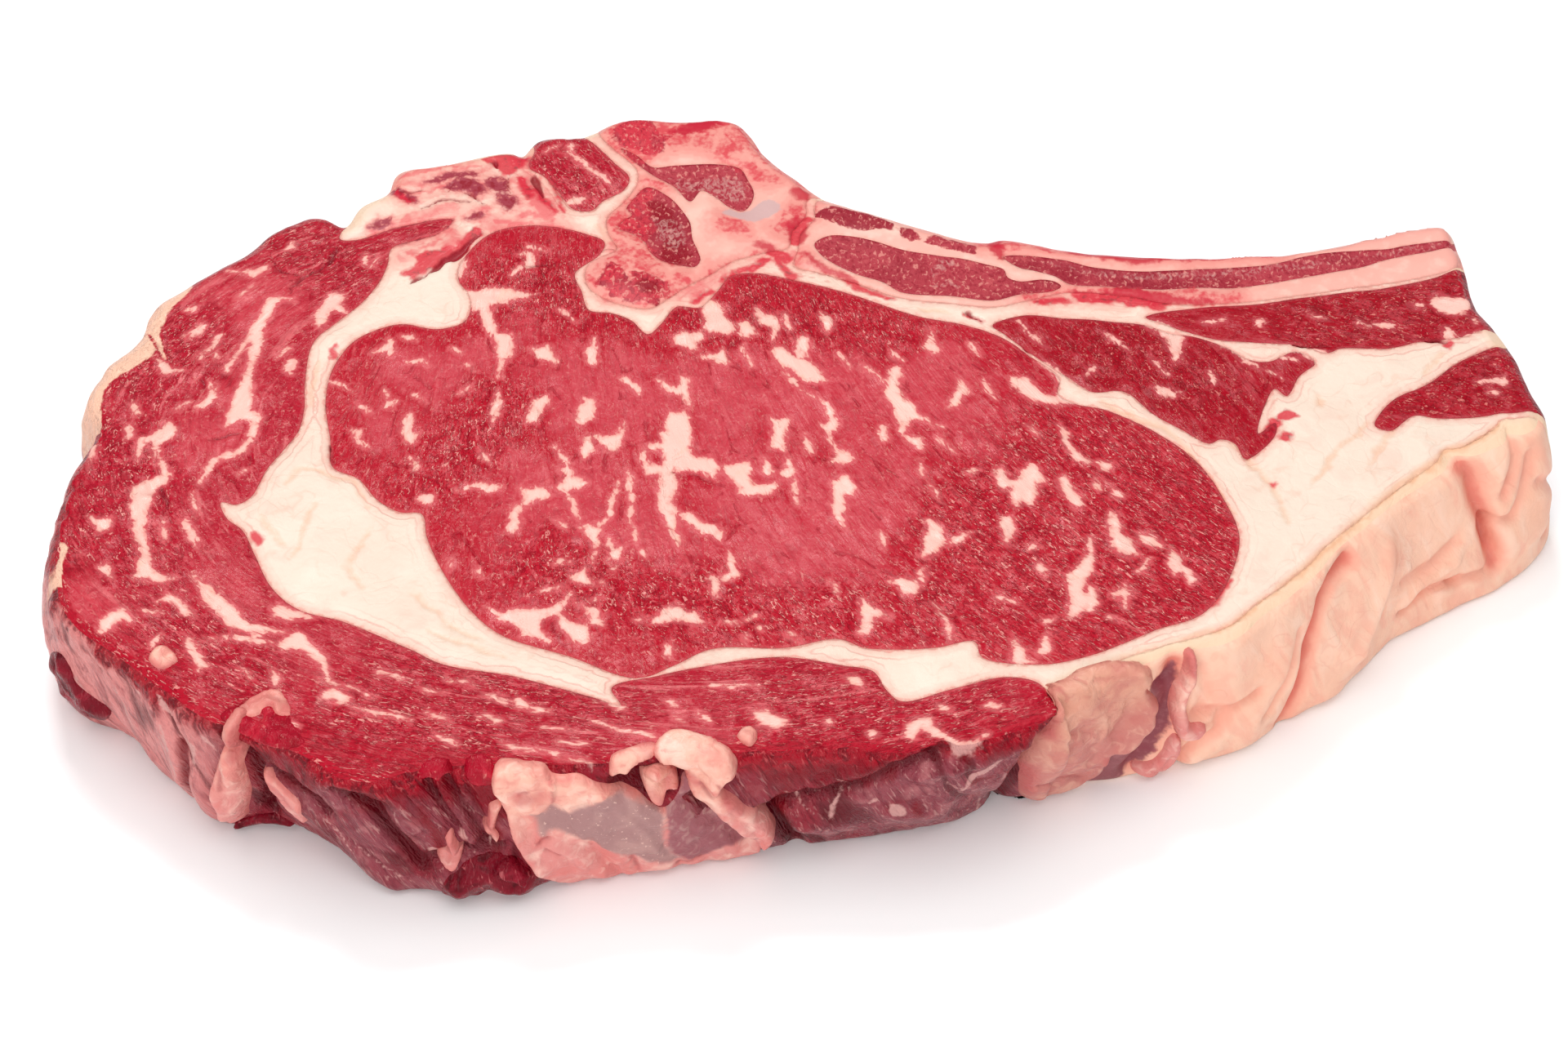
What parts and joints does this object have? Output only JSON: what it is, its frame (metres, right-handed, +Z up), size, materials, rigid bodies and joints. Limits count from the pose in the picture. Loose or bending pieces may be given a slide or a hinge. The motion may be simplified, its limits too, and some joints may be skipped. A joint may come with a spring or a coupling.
{
  "type": "bone-in rib steak",
  "caption": "Thick raw rib steak lying on its cut face, with a large eye muscle, a curled cap muscle, a curved rib bone and a fat cap; food to be cooked and eaten.",
  "frame": {"origin": "centre of the bounding box, at the level of the flat underside that the slice rests on", "axes": "+X along the rib, from the cap muscle to the sawn rib end; +Y towards the chine bone; +Z up, out of the cut face"},
  "size_m": [0.2628, 0.1564, 0.0313],
  "materials": {
    "lean_meat": "moist cut muscle, fine grain, cream marbling",
    "dark_meat": "moist cut muscle, darker and finer",
    "cut_bone": "sawn bone, pale pink, satin",
    "red_marrow": "spongy sawn bone filled with red marrow",
    "cream_fat": "firm cream fat with faint creases",
    "outer_fat": "peach outer fat, waxy and folded",
    "skin_fat": "thin pink fat with a grey-lilac skin"
  },
  "bodies": {
    "root": {"eye_muscle": "lean_meat", "cap_muscle": "lean_meat", "side_muscle": "dark_meat", "rib_muscle": "dark_meat", "flank_muscle": "dark_meat", "back_muscle": "dark_meat", "chine_bone": "cut_bone", "rib_bone": "cut_bone", "chine_marrow": "red_marrow", "joint_marrow": "red_marrow", "rib_marrow": "red_marrow", "neck_marrow": "red_marrow", "kernel_fat": "cream_fat", "seam_fat": "cream_fat", "fat_cap": "outer_fat", "front_fat_roll": "outer_fat", "front_fat_sheet": "skin_fat", "left_fat_tag": "skin_fat", "right_fat_flap": "skin_fat"}
  },
  "joints": []
}
